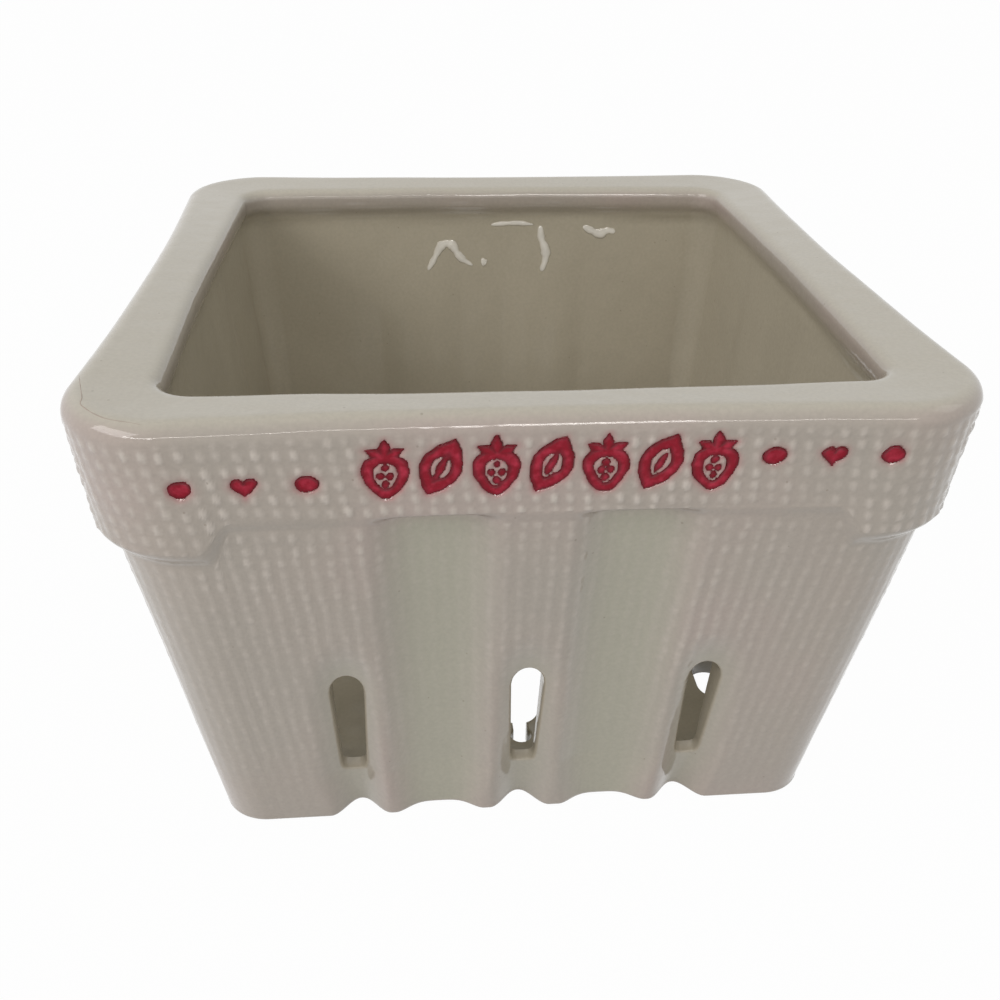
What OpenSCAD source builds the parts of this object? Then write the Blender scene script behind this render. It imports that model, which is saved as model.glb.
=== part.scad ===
/* [Overall size] */
// Outer width and depth over the rim
rim_w = 140; // [132:1:160]
// Height from the table to the top of the rim
height = 90; // [84:1:110]
// How much further in the body stands at the table than at the rim, on each side
foot_in = 13; // [9:0.5:16]

/* [Wall and floor] */
// Thickness of the cast wall at the floor
wall = 5.5; // [4.8:0.1:7]
// Thickness of the cast wall under the rim
wall_top = 11.2; // [9:0.1:12]
// Thickness of the floor
floor_t = 5; // [4:0.1:7]
// Height of the foot ring that holds the floor off the table
foot_h = 2.5; // [1.5:0.1:3.5]
// Width of the foot ring
foot_ring_w = 8.7; // [8.5:0.1:11]
// Radius where the inside wall runs into the floor
floor_fillet = 4.2; // [3:0.2:5]
// Small bevel round the bottom edge of the foot
foot_bevel = 0.9; // [0.4:0.1:1.5]
// Corner radius of the body at the table
foot_r = 9; // [7:0.5:12]
// Corner radius of the body under the band
neck_r = 16; // [13:0.5:18]

/* [Rim and band] */
// Corner radius of the rim seen from above
rim_r = 16.2; // [14:0.1:18]
// Width of the flat rim, from its outer edge to the opening
rim_flat = 13.75; // [12.5:0.25:16]
// Corner radius of the opening
opening_r = 5.8; // [4:0.1:8]
// Radius of the rolled outer edge of the rim
rim_roll = 3; // [2:0.1:3.5]
// How much lower the inner edge of the rim lies than its outer edge
rim_fall = 0.7; // [0.3:0.1:1.2]
// Radius of the soft inner edge of the rim
lip_roll = 2.2; // [1:0.1:2.6]
// Depth of the inner lip below the top of the rim
lip_h = 6; // [5:0.1:7]
// How far the long sides of the rim are drawn in at their middles
rim_bow = 1.4; // [0.5:0.1:2]
// How far the sides of the opening stand out at their middles
opening_bow = 0.9; // [0:0.1:1.5]
// Depth of the band under the top of the rim, along the sides
band_h = 17.4; // [15.4:0.2:18]
// How much further the band hangs down at the corners
band_drop = 5; // [2:0.5:6]
// How far from the corner arc the band steps down
band_step_in = 5.4; // [5:0.2:8]
// Length over which the band steps down
band_step_run = 1.4; // [1:0.1:3]
// How far the band stands out of the wall
band_proud = 1.9; // [1:0.1:2.5]
// Height of the slope under the band
band_slope_h = 1.8; // [1.4:0.1:4]
// How far the band leans in towards its lower edge
band_lean = 1.2; // [0.6:0.1:2]

/* [Flutes and slots] */
// Distance of the outer slots from the outer face of the foot, along one side
slot_in = 25.6; // [25:0.2:28]
// Width of a slot near its top
slot_w = 5.8; // [5.2:0.1:7]
// Width of a slot at its sill
slot_foot_w = 4.4; // [4.2:0.1:5.6]
// Height of the sill above the fillet of the floor
sill_rise = 0.3; // [0.3:0.1:6]
// Height of a slot from its sill to its round top
slot_h = 24.2; // [18:0.2:28]
// Depth of the groove round a slot
groove_d = 3.3; // [2.5:0.1:3.8]
// Depth of the groove at the table
groove_foot_d = 4.7; // [3:0.1:5.2]
// Width of the bottom of the groove at the table
groove_foot_w = 1.8; // [1:0.1:4.4]
// Height over which the groove fades out above a slot
groove_fade = 8; // [5:0.5:10]
// Depth of the broad flutes between the slots
flute_d = 3.4; // [1.5:0.1:3.6]
// Depth of the broad flutes at the table
flute_foot_d = 2.4; // [1.5:0.1:3.6]
// Depth of the soft flutes on the inside
inner_flute_d = 1.2; // [0.5:0.1:1.6]

/* [Drain holes in the floor] */
// Width of the long drain slots
drain_w = 16; // [10:0.5:16.5]
// Distance from the centre to the near end of a long drain slot
drain_in = 14; // [13:0.5:18]
// Distance from the outer face of the foot to the far end of a long drain slot
drain_edge = 14.5; // [14:0.5:19]
// Width of the small round notch at the far end of a long drain slot
notch_w = 4; // [3:0.2:4.4]
// Distance from the outer face of the foot to the middle of the notch
notch_edge = 12.2; // [12:0.1:13]
// Width of the short drain slots
short_w = 8; // [6:0.5:8]
// Length of the short drain slots, front to back
short_l = 13.4; // [10:0.2:14]
// Distance of the short slots from the outer face of the foot, across
short_edge_x = 13; // [13:0.5:17]
// Distance of the short slots from the outer face of the foot, front to back
short_edge_y = 27.2; // [26:0.2:29]

/* [Red marks] */
// Height of a berry or leaf mark
mark_h = 10; // [7:0.1:10.5]
// Gap between neighbouring marks
mark_gap = 1.6; // [1.4:0.1:3.4]
// Width of the red line of a mark
mark_line = 1.4; // [1:0.1:1.6]
// Share of the width of the rim from one mark to the next
mark_pitch_share = 0.05714; // [0.053:0.00001:0.058]
// Depth of the middle of the marks under the top of the rim
mark_drop = 8.3; // [8.2:0.1:9.4]
// How far the row of marks sits to the right of the middle
mark_shift = 1.2; // [-2:0.1:2]
// Width of a small dot
dot_w = 3.2; // [2:0.1:3.6]
// Height of a small dot
dot_h = 2.6; // [1.8:0.1:3]
// Share of the width of the rim from one dot to the next
dot_pitch_share = 0.06286; // [0.057:0.00001:0.064]
// Share of the width of the rim from the middle of the side to the hearts
dot_place_share = 0.30571; // [0.293:0.00001:0.307]
// How much lower the left dots were pressed than the marks
dot_left_drop = 1.9; // [0:0.1:2.5]
// How much higher the right dots were pressed than the marks
dot_right_rise = 0.8; // [0:0.1:1.2]
// Depth of the pressed recess that holds the red glaze
press_d = 1; // [0.6:0.1:1.4]
// How far the red glaze lies below the face of the band
glaze_sink = 0.3; // [0.1:0.05:0.45]

/* [Hidden] */
overrun = 3;
sides = 4;
quarter_turn = 90;
rim_half = rim_w / 2;
foot_half = rim_half - foot_in;
foot_hollow_w = (foot_half - foot_ring_w) * 2;
floor_z = foot_h + floor_t;
slot_z = floor_z + floor_fillet + sill_rise;
band_foot_half = rim_half - band_lean;
neck_half = band_foot_half - band_proud;
neck_z = height - band_h - band_drop - band_slope_h;
wall_draft = (neck_half - foot_half) / neck_z;
slot_top = slot_z + slot_h;
slot_spring = slot_top - slot_w / 2;
lip_half = rim_half - rim_flat;
lip_foot_z = height - lip_h;
slot_pitch = foot_half - slot_in;
ridge_off = slot_pitch * 0.225;
drain_out = foot_half - drain_edge;
short_x = foot_half - short_edge_x;
short_y = foot_half - short_edge_y;
mark_pitch = rim_w * mark_pitch_share;
mark_w = mark_pitch - mark_gap;
dot_pitch = rim_w * dot_pitch_share;
dot_x = rim_w * dot_place_share;

// Plan of one side, from its middle outwards. Each column has a place and
// the share of the groove, flute and slot arch that it carries.
function groove_columns(c, hs) = let (run = ridge_off - hs) [
    [c - hs - run * 0.42, 0.5, 0, -0.2],
    [c - hs, 1, 0, 0],
    [c - hs * 0.6, 1, 0, 0.8],
    [c, 1, 0, 1],
    [c + hs * 0.6, 1, 0, 0.8],
    [c + hs, 1, 0, 0],
    [c + hs + run * 0.42, 0.5, 0, -0.2]
];
function flute_columns(a, b) = let (m = (a + b) / 2, h = (b - a) / 2) [
    [a, 0, 0.26, -0.5],
    [m - h * 0.58, 0, 0.8, 0],
    [m, 0, 1, 0],
    [m + h * 0.58, 0, 0.8, 0],
    [b, 0, 0.26, -0.5]
];
function side_columns(hs, t_end) = concat(
    [[-t_end, 0, 0, 0], [-t_end + band_step_in - band_step_run, 0, 0, 0],
     [-t_end + band_step_in, 0, 0, 0], [-slot_pitch - ridge_off, 0, 0, 0]],
    groove_columns(-slot_pitch, hs),
    flute_columns(-slot_pitch + ridge_off, -ridge_off),
    groove_columns(0, hs),
    flute_columns(ridge_off, slot_pitch - ridge_off),
    groove_columns(slot_pitch, hs),
    [[slot_pitch + ridge_off, 0, 0, 0], [t_end - band_step_in, 0, 0, 0],
     [t_end - band_step_in + band_step_run, 0, 0, 0], [t_end, 0, 0, 0]]
);
side_n = len(side_columns(slot_w / 2, rim_half));
corner_n = 4;
ring_n = sides * (side_n + corner_n);
slot_step_n = len(groove_columns(0, ridge_off)) + len(flute_columns(0, ridge_off));
slot_first_columns = [for (i = [0:2]) 5 + i * slot_step_n];

// Share of the corner drop of the band at each column
function drop_share(j) = (j <= 1 || j >= side_n - 2) ? 1 : 0;

function wall_half(z) = foot_half + wall_draft * z;
function wall_r(z) = foot_r + (neck_r - foot_r) * z / neck_z;
function wall_bow(z) = rim_bow * z / height;
function turn(p, k) = let (q = k * quarter_turn)
    [p[0] * cos(q) - p[1] * sin(q), p[0] * sin(q) + p[1] * cos(q), p[2]];

// One closed ring of the body. row: [z, half width, corner radius, bow,
// groove depth, flute depth, slot half width, arch height, follows band, fit]
function row_z(row, drop, arch) = row[0] - row[8] * drop * band_drop + row[7] * arch;
function row_half(row, drop) = row[1] - row[9] * row[8] * drop * band_drop * wall_draft;
function ring(row) = [
    for (k = [0:sides - 1])
        let (t_end = row[1] - row[2], cols = side_columns(row[6], t_end))
        for (j = [0:side_n + corner_n - 1])
            j < side_n
                ? let (c = cols[j], s = drop_share(j), u = c[0] / t_end)
                    turn([c[0],
                          -(row_half(row, s) - row[3] * (1 - u * u) - row[4] * c[1] - row[5] * c[2]),
                          row_z(row, s, c[3])], k)
                : let (q = (j - side_n + 1) / (corner_n + 1) * quarter_turn,
                       r = row[2] - (row[1] - row_half(row, 1)))
                    turn([t_end + r * sin(q), -t_end - r * cos(q), row_z(row, 1, 0)], k)
];
function inset_ring(points, share, z) = [for (p = points) [p[0] * share, p[1] * share, z]];

function wall_row(z, groove, flute, hs) =
    [z, wall_half(z), wall_r(z), wall_bow(z), groove, flute, hs, 0, 0, 0];
function wall_t(z) = wall + (wall_top - wall) * max(0, z - slot_z) / (under_lip_z - slot_z);
function inner_bow(z) = -opening_bow * z / height;
function inner_row(z, flute, hs) =
    [z, wall_half(z) - wall_t(z), wall_r(z) - wall_t(z), inner_bow(z), 0, flute, hs, 0, 0, 0];
function with_arch(row, arch) = [for (i = [0:len(row) - 1]) i == 7 ? arch : row[i]];

top_hs = slot_w / 2;
foot_hs = slot_foot_w / 2;
edge_z = height - band_h;
edge_round = rim_roll / 3;
roll_z = height - rim_roll;
inner_top_z = height - rim_fall;
under_lip_z = lip_foot_z - lip_roll;
inner_start = inner_row(floor_z + floor_fillet, inner_flute_d / 2, foot_hs);
inner_start_ring = ring(inner_start);
inner_start_half = inner_start[1];

outer_rows = [
    [0, foot_half - foot_bevel, foot_r - foot_bevel, 0,
     groove_foot_d, flute_foot_d, groove_foot_w / 2, 0, 0, 0],
    wall_row(foot_bevel, groove_foot_d, flute_foot_d, groove_foot_w / 2),
    wall_row(slot_z, groove_d, flute_d, foot_hs),
    with_arch(wall_row(slot_spring, groove_d, flute_d, top_hs), top_hs),
    with_arch(wall_row(slot_top - groove_fade / 6, groove_d * 0.6, flute_d, top_hs), groove_fade / 2),
    with_arch(wall_row(slot_top + groove_fade / 3, 0, flute_d, top_hs), groove_fade * 2 / 3)
];
neck_row = [edge_z - band_slope_h, wall_half(edge_z - band_slope_h), wall_r(neck_z),
            wall_bow(edge_z), 0, flute_d, top_hs, 0, 1, 1];
band_rows = [
    neck_row,
    [edge_z, band_foot_half - edge_round / 2, rim_r, wall_bow(edge_z), 0, 0, top_hs, 0, 1, 0],
    [edge_z + edge_round, band_foot_half, rim_r, wall_bow(edge_z), 0, 0, top_hs, 0, 1, 0],
    [roll_z, rim_half, rim_r, rim_bow, 0, 0, top_hs, 0, 0, 0]
];
function roll_row(q) =
    [roll_z + rim_roll * sin(q), rim_half - rim_roll * (1 - cos(q)), rim_r - rim_roll * (1 - cos(q)),
     rim_bow, 0, 0, top_hs, 0, 0, 0];
function lip_row(z, off) =
    [z, lip_half + off, opening_r + off, -opening_bow, 0, 0, top_hs, 0, 0, 0];
rim_rows = [
    for (q = [30:30:90]) roll_row(q),
    lip_row(inner_top_z, lip_roll),
    lip_row(inner_top_z - lip_roll * (1 - cos(50)), lip_roll * (1 - sin(50))),
    lip_row(inner_top_z - lip_roll, 0),
    lip_row(lip_foot_z + lip_roll / 2, 0),
    lip_row(lip_foot_z, lip_roll / 2)
];
inner_rows = [
    inner_row(under_lip_z + lip_roll / 2, 0, top_hs),
    inner_row(under_lip_z - lip_roll, 0, top_hs),
    inner_row(slot_top + groove_fade, inner_flute_d, top_hs),
    with_arch(inner_row(slot_spring, inner_flute_d, top_hs), top_hs),
    inner_row(slot_z, inner_flute_d / 2, foot_hs)
];
function fillet_ring(q) = inset_ring(
    inner_start_ring,
    (inner_start_half - floor_fillet * (1 - cos(q))) / inner_start_half,
    floor_z + floor_fillet * (1 - sin(q))
);
rings = concat(
    [for (row = concat(outer_rows, band_rows, rim_rows, inner_rows)) ring(row)],
    [for (q = [25, 50, 90]) fillet_ring(q)]
);
ring_count = len(rings);
outer_sill_n = 2;
inner_sill_n = len(outer_rows) + len(band_rows) + len(rim_rows) + len(inner_rows) - 1;
inner_spring_n = inner_sill_n - 1;

function in_slot(c) = let (j = c % (side_n + corner_n))
    len([for (s = slot_first_columns) if (j >= s && j < s + sides) s]) > 0;
function open_cell(i, c) = (i == outer_sill_n || i == inner_spring_n) && in_slot(c);
function at(i, c) = i * ring_n + c % ring_n;
function quad(a, b, c, d) = [[a, b, c], [a, c, d]];
body_faces = concat(
    [for (i = [0:ring_count - 2]) for (c = [0:ring_n - 1]) if (!open_cell(i, c))
        each quad(at(i, c), at(i + 1, c), at(i + 1, c + 1), at(i, c + 1))],
    [for (c = [0:ring_n - 1]) [at(0, c), at(0, c + 1), ring_count * ring_n]],
    [for (c = [0:ring_n - 1]) [at(ring_count - 1, c + 1), at(ring_count - 1, c), ring_count * ring_n + 1]],
    // Sills, heads and cheeks that join the outside of each slot to the inside
    [for (k = [0:sides - 1]) for (s = slot_first_columns)
        let (c0 = k * (side_n + corner_n) + s, c1 = c0 + sides)
        each concat(
            [for (c = [c0:c1 - 1]) each quad(
                at(outer_sill_n, c), at(inner_sill_n, c),
                at(inner_sill_n, c + 1), at(outer_sill_n, c + 1))],
            [for (c = [c0:c1 - 1]) each quad(
                at(outer_sill_n + 1, c), at(outer_sill_n + 1, c + 1),
                at(inner_spring_n, c + 1), at(inner_spring_n, c))],
            quad(at(outer_sill_n, c0), at(outer_sill_n + 1, c0),
                 at(inner_spring_n, c0), at(inner_sill_n, c0)),
            quad(at(outer_sill_n + 1, c1), at(outer_sill_n, c1),
                 at(inner_sill_n, c1), at(inner_spring_n, c1))
        )]
);

module fired_shell() {
    points = concat([for (r = rings) each r], [[0, 0, 0], [0, 0, floor_z]]);
    polyhedron(points = points, faces = body_faces);
}

// Hollow inside the foot ring
module foot_hollow() {
    hollow_half = foot_hollow_w / 2;
    r = foot_r * 2 / 3;
    translate([0, 0, -overrun]) linear_extrude(foot_h + overrun) union() {
        square([foot_hollow_w, foot_hollow_w - r * 2], center = true);
        square([foot_hollow_w - r * 2, foot_hollow_w], center = true);
        for (x = [-1, 1]) for (y = [-1, 1])
            translate([x * (hollow_half - r), y * (hollow_half - r)]) circle(r, $fn = 24);
    }
}

// Four long drain slots in a cross, and a short slot towards each corner
module drain_holes() {
    cut_h = floor_z + floor_fillet;
    notch_neck = notch_w * 0.55;
    for (k = [0:sides - 1]) rotate([0, 0, k * quarter_turn]) {
        translate([drain_in + drain_w / 2, -drain_w / 2, 0])
            cube([drain_out - drain_in - drain_w, drain_w, cut_h]);
        for (x = [drain_in + drain_w / 2, drain_out - drain_w / 2])
            translate([x, 0, 0]) cylinder(d = drain_w, h = cut_h, $fn = 32);
        translate([foot_half - notch_edge, 0, 0]) cylinder(d = notch_w, h = cut_h, $fn = 16);
        translate([drain_out - drain_w / 2, -notch_neck / 2, 0])
            cube([drain_edge + drain_w / 2 - notch_edge, notch_neck, cut_h]);
    }
    for (x = [-1, 1]) for (y = [-1, 1]) translate([x * short_x, y * short_y, 0]) {
        straight = short_l - short_w;
        translate([-short_w / 2, -straight / 2, 0]) cube([short_w, straight, cut_h]);
        for (e = [-1, 1]) translate([0, e * straight / 2, 0]) cylinder(d = short_w, h = cut_h, $fn = 24);
    }
}

// Outlines of the pressed marks, as points round a closed curve
outline_n = 20;
function round_points(w, h, taper) = [
    for (i = [0:outline_n - 1]) let (q = i * 360 / outline_n)
        [w / 2 * sin(q) * (1 + taper * cos(q)), h / 2 * cos(q)]
];
function leaf_points(w, h) = [
    for (i = [0:outline_n - 1]) let (q = i * 360 / outline_n, x = sin(q))
        [w / 2 * x * abs(x), h / 2 * cos(q)]
];
function heart_points(w, h) = [
    for (i = [0:outline_n - 1]) let (q = i * 360 / outline_n + 180 / outline_n, x = sin(q))
        [w / 2 * x * x * x, h * (0.42 * cos(q) - 0.16 * cos(2 * q) - 0.065 * cos(3 * q) - 0.03 * cos(4 * q))]
];

berry_taper_share = 0.32;
berry_body_share = 0.76;
seed_share = 0.14;
seed_place_shares = [[0, 0.19], [-0.11, 0.01], [0.11, 0.01], [0, -0.17]];
module berry_2d() {
    h = mark_h * berry_body_share;
    translate([0, (h - mark_h) / 2]) {
        difference() {
            polygon(round_points(mark_w, h, berry_taper_share));
            polygon(round_points(mark_w - mark_line * 2, h - mark_line * 2, berry_taper_share));
        }
        for (p = seed_place_shares)
            translate([p[0] * mark_w, p[1] * h])
                polygon(round_points(mark_w * seed_share, h * seed_share, 0));
    }
    crown_h = mark_h * (1 - berry_body_share) + mark_line / 2;
    translate([0, mark_h / 2 - crown_h])
        for (q = [-62, 0, 62]) rotate([0, 0, q])
            polygon([[-mark_line / 3, 0], [mark_line / 3, 0], [mark_line / 2, crown_h * 0.6], [0, crown_h],
                     [-mark_line / 2, crown_h * 0.6]]);
}
leaf_tilt = 24;
module leaf_2d() {
    rotate([0, 0, -leaf_tilt]) {
        difference() {
            polygon(leaf_points(mark_w * 0.92, mark_h));
            polygon(leaf_points(mark_w * 0.92 - mark_line * 2, mark_h - mark_line * 3.4));
        }
        polygon(leaf_points(mark_line * 0.7, mark_h * 0.4));
    }
}
module dot_2d() { polygon(round_points(dot_w, dot_h, 0)); }
module heart_2d() { polygon(heart_points(dot_w * 1.1, dot_h * 1.25)); }

// Face of the band on the marked side: it leans in and bows, so each mark
// lies in its own plane on it
band_lean_angle = atan2(rim_half - band_foot_half, roll_z - edge_z - edge_round);
function face_y(x, z) =
    -(band_foot_half + (z - edge_z - edge_round) * tan(band_lean_angle)
      - rim_bow * (1 - pow(x / (rim_half - rim_r), 2)));
function face_turn(x) = atan(2 * rim_bow * x / pow(rim_half - rim_r, 2));
module on_band(x, z) {
    translate([x, face_y(x, z), z]) rotate([0, 0, -face_turn(x)])
        rotate([quarter_turn + band_lean_angle, 0, 0]) children();
}

mark_z = height - mark_drop;
mark_count = 7;
function mark_x(i) = mark_shift + (i - (mark_count + 1) / 2) * mark_pitch;
dots_left = [for (i = [-1:1]) [-dot_x + i * dot_pitch, mark_z - dot_left_drop]];
dots_right = [for (i = [-1:1]) [dot_x + i * dot_pitch, mark_z + dot_right_rise]];
glaze_t = press_d - glaze_sink;
module pressed(x, z) { on_band(x, z) translate([0, 0, -press_d]) linear_extrude(press_d + overrun) children(); }
module filled(x, z) { on_band(x, z) translate([0, 0, -press_d]) linear_extrude(glaze_t) children(); }
module berry_glaze(i) { color("#a8203c") filled(mark_x(i), mark_z) berry_2d(); }
module leaf_glaze(i) { color("#a8203c") filled(mark_x(i), mark_z) leaf_2d(); }
module dot_glaze(p) { color("#a8203c") filled(p[0], p[1]) dot_2d(); }
module heart_glaze(p) { color("#a8203c") filled(p[0], p[1]) heart_2d(); }

module pressed_marks() {
    for (i = [1:2:mark_count]) pressed(mark_x(i), mark_z) berry_2d();
    for (i = [2:2:mark_count]) pressed(mark_x(i), mark_z) leaf_2d();
    for (p = [dots_left[0], dots_left[2], dots_right[0], dots_right[2]]) pressed(p[0], p[1]) dot_2d();
    for (p = [dots_left[1], dots_right[1]]) pressed(p[0], p[1]) heart_2d();
}

module basket_body() {
    color("#b9b3a4") difference() {
        fired_shell();
        foot_hollow();
        drain_holes();
        pressed_marks();
    }
}

basket_body();
berry_glaze(1);  // berry_glaze_1
leaf_glaze(2);  // leaf_glaze_2
berry_glaze(3);  // berry_glaze_3
leaf_glaze(4);  // leaf_glaze_4
berry_glaze(5);  // berry_glaze_5
leaf_glaze(6);  // leaf_glaze_6
berry_glaze(7);  // berry_glaze_7
dot_glaze(dots_left[0]);  // dot_glaze_far_left
heart_glaze(dots_left[1]);  // heart_glaze_left
dot_glaze(dots_left[2]);  // dot_glaze_near_left
dot_glaze(dots_right[0]);  // dot_glaze_near_right
heart_glaze(dots_right[1]);  // heart_glaze_right
dot_glaze(dots_right[2]);  // dot_glaze_far_right
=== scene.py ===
import math

import bmesh
import bpy
import numpy as np
from mathutils import Matrix, Vector
from mathutils.bvhtree import BVHTree
from mathutils.geometry import delaunay_2d_cdt


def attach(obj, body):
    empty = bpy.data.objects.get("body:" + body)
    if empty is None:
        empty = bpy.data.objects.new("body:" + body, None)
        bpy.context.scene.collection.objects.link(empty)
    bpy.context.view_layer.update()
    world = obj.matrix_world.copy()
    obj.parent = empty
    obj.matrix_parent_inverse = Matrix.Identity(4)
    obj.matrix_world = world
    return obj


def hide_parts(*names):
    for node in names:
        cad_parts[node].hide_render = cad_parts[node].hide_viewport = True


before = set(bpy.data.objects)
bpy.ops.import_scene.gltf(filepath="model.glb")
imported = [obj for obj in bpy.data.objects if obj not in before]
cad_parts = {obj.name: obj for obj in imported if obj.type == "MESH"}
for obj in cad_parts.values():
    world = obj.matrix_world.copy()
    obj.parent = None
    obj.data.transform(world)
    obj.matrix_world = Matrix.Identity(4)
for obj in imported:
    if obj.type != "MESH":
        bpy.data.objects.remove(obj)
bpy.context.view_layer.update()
mm = 0.001
print("frame loaded")


# Small helpers

def hexToLinear(code):
    parts = [int(code[i:i + 2], 16) / 255 for i in (1, 3, 5)]
    return tuple(p / 12.92 if p <= 0.04045 else ((p + 0.055) / 1.055) ** 2.4 for p in parts) + (1.0,)


def addNode(tree, kind, settings=None, links=None):
    # a key that is a number or an input's name sets that input, any other sets the node itself
    node = tree.nodes.new("ShaderNode" + kind)
    for key, value in (settings or {}).items():
        if isinstance(key, int) or key in node.inputs:
            node.inputs[key].default_value = value
        else:
            setattr(node, key, value)
    for key, output in (links or {}).items():
        tree.links.new(output, node.inputs[key])
    return node


def perMetre(gap):
    # a pattern's scale from its real size in millimetres
    return 1 / (gap * mm)


def newMaterial(name):
    material = bpy.data.materials.new(name)
    material.use_nodes = True
    tree = material.node_tree
    return material, tree, tree.nodes["Principled BSDF"]


def smoothStep(low, high, value):
    x = np.clip((value - low) / (high - low), 0, 1)
    return x * x * (3 - 2 * x)


def turned(x, y, angle):
    c, s = np.cos(angle), np.sin(angle)
    return x * c - y * s, x * s + y * c


def easeOff(x):
    # half a wave, from 1 where x is 0 or less to 0 where it is 1 or more
    return 0.5 + 0.5 * np.cos(np.pi * np.clip(x, 0, 1))


def meshObject(name, points, faces, attributes=None):
    mesh = bpy.data.meshes.new(name)
    mesh.from_pydata([tuple(p) for p in np.asarray(points) * mm], [], faces)
    for key, values in (attributes or {}).items():
        attribute = mesh.attributes.new(key, "FLOAT", "POINT")
        attribute.data.foreach_set("value", np.asarray(values, np.float32))
    build = bmesh.new()
    build.from_mesh(mesh)
    bmesh.ops.recalc_face_normals(build, faces=build.faces)
    for face in build.faces:
        face.smooth = True
    build.to_mesh(mesh)
    build.free()
    piece = bpy.data.objects.new(name, mesh)
    bpy.context.scene.collection.objects.link(piece)
    return piece


def onlyUsed(total, faces):
    # which of the points the faces touch, and the faces renumbered to those
    used = np.zeros(total, bool)
    for face in faces:
        used[list(face)] = True
    index = np.cumsum(used) - 1
    return used, [tuple(int(index[i]) for i in face) for face in faces]


# Camera

# place in metres and angles in degrees, fitted to the photograph
cameraSetup = {"place": (-0.018465, -0.19873, 0.15447), "turn": 5.34, "tip": 30.85, "roll": 1.02,
               "lens": 37.55, "sensor": 36.0, "nearest": 0.01}


def addCamera(setup):
    turn, tip, roll = (math.radians(setup[k]) for k in ("turn", "tip", "roll"))
    ahead = Vector((math.sin(turn) * math.cos(tip), math.cos(turn) * math.cos(tip), -math.sin(tip)))
    level = Vector((math.cos(turn), -math.sin(turn), 0))
    rise = level.cross(ahead)
    right = math.cos(roll) * level + math.sin(roll) * rise
    up = -math.sin(roll) * level + math.cos(roll) * rise
    data = bpy.data.cameras.new("photoCamera")
    data.lens, data.sensor_width, data.clip_start = setup["lens"], setup["sensor"], setup["nearest"]
    camera = bpy.data.objects.new("photoCamera", data)
    facing = Matrix((right, up, -ahead)).transposed().to_4x4()
    camera.matrix_world = Matrix.Translation(setup["place"]) @ facing
    bpy.context.scene.collection.objects.link(camera)
    bpy.context.scene.camera = camera


addCamera(cameraSetup)
bpy.context.scene.view_settings.view_transform = "Standard"
print("camera set")


# Basket body: one cast shell, worked out in millimetres

size = {
    "rimWidth": 140.0, "height": 90.0, "footWidth": 114.0, "wall": 5.5, "wallTop": 11.2, "floor": 5.0,
    "footHollow": 2.5, "hollowWidth": 96.6, "hollowRadius": 6.0, "hollowRound": 0.5, "floorFillet": 4.2,
    "footRound": 0.9, "footRadius": 9.0, "neckRadius": 16.0, "rimRadius": 16.2,
    "openingWidth": 112.5, "openingRadius": 5.8, "rimRoll": 3.0, "rimFall": 0.7, "lipRoll": 2.2,
    "lipHeight": 6.0, "rimBow": 1.4, "openingBow": 0.9,
    "bandHeight": 17.4, "bandDrop": 5.0, "bandStepIn": 7.0, "bandStepRun": 5.0, "bandProud": 1.9,
    "bandSlope": 1.5, "cornerSlope": 3.2, "bandRound": 1.0, "bandLean": 1.2, "bendFrom": 55.0,
    "wallSwell": 0.5, "swellFrom": 40.0, "swellPower": 6,
    "slotPitch": 31.4, "slotWidth": 5.8, "slotFootWidth": 4.4, "slotSill": 12.0, "slotHeight": 24.2,
    "slotEdge": 0.5, "slotInnerEdge": 0.15, "sillRound": 1.2, "sillDip": 1.1, "headRise": 0.9,
    "headDrop": -0.5, "headReach": 14.0, "sillReach": 10.0, "sillRow": 1.3, "arcReach": 3.0,
    "grooveDepth": 3.1, "grooveHeadDepth": 1.9, "grooveFootDepth": 4.2, "grooveFade": 0.5,
    "grooveCore": 0.4, "grooveFootCore": 0.1, "grooveFootReach": 5.8, "grooveLean": (0.8, -0.4, -1.0),
    "leanTop": 10.5, "ridgeShare": 0.225,
    "fluteDepth": 3.4, "fluteFootDepth": 2.5, "fluteReach": 10.93, "fluteFootReach": 8.5,
    "flutePower": 1.77, "innerFluteDepth": 1.2, "innerFluteHeights": (45, 80),
    "drainWidth": 16.0, "drainIn": 14.0, "drainOut": 42.5, "drainTip": 8.0, "tipBack": 1.0, "drainShift": 1.0,
    "drainEdge": 0.5, "drainLowEdge": 0.15, "notchWidth": 4.0, "notchAt": 44.8, "neckShare": 0.34,
    "shortWidth": 8.0, "shortLength": 13.4, "shortAcross": 44.0, "shortAlong": 29.8,
}
# millimetres from column to column, cells over a slot and round a corner, and rows up each stretch
layout = {"frontStep": 0.42, "otherStep": 0.64, "frontCells": 16, "otherCells": 12, "evenShare": 0.45,
          "cornerCells": 42, "calmEnd": 46.0, "sideEnd": 53.8, "belowRows": 21, "slotRows": 31,
          "aboveRows": 61, "bandRows": 34, "insideRows": 31,
          "headPoints": 27, "notchPoints": 17, "cornerPoints": 13}
# the cast's slow waves: how high and how long in millimetres, and the seed of each
skin = {"patch": (0.25, 26, 5), "cast": (0.1, 42, 2), "fineCast": (0.03, 7, 3), "inside": (0.22, 34, 11),
        "fineInside": (0.05, 11, 12), "rimSide": (1.0, 30, 2), "rimTop": (1.0, 24, 8)}
rimHalf, footHalf, openingHalf = size["rimWidth"] / 2, size["footWidth"] / 2, size["openingWidth"] / 2
floorZ = size["footHollow"] + size["floor"]
bandFootHalf = rimHalf - size["bandLean"]
neckHalf = bandFootHalf - size["bandProud"]
neckZ = size["height"] - size["bandHeight"] - size["bandDrop"] - size["bandSlope"]
draft = (neckHalf - footHalf) / neckZ
edgeZ = size["height"] - size["bandHeight"]
rollZ = size["height"] - size["rimRoll"]
slotSpring = size["slotSill"] + size["slotHeight"] - size["slotWidth"] / 2
slotFoot = size["slotSill"] + size["sillRound"]
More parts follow.
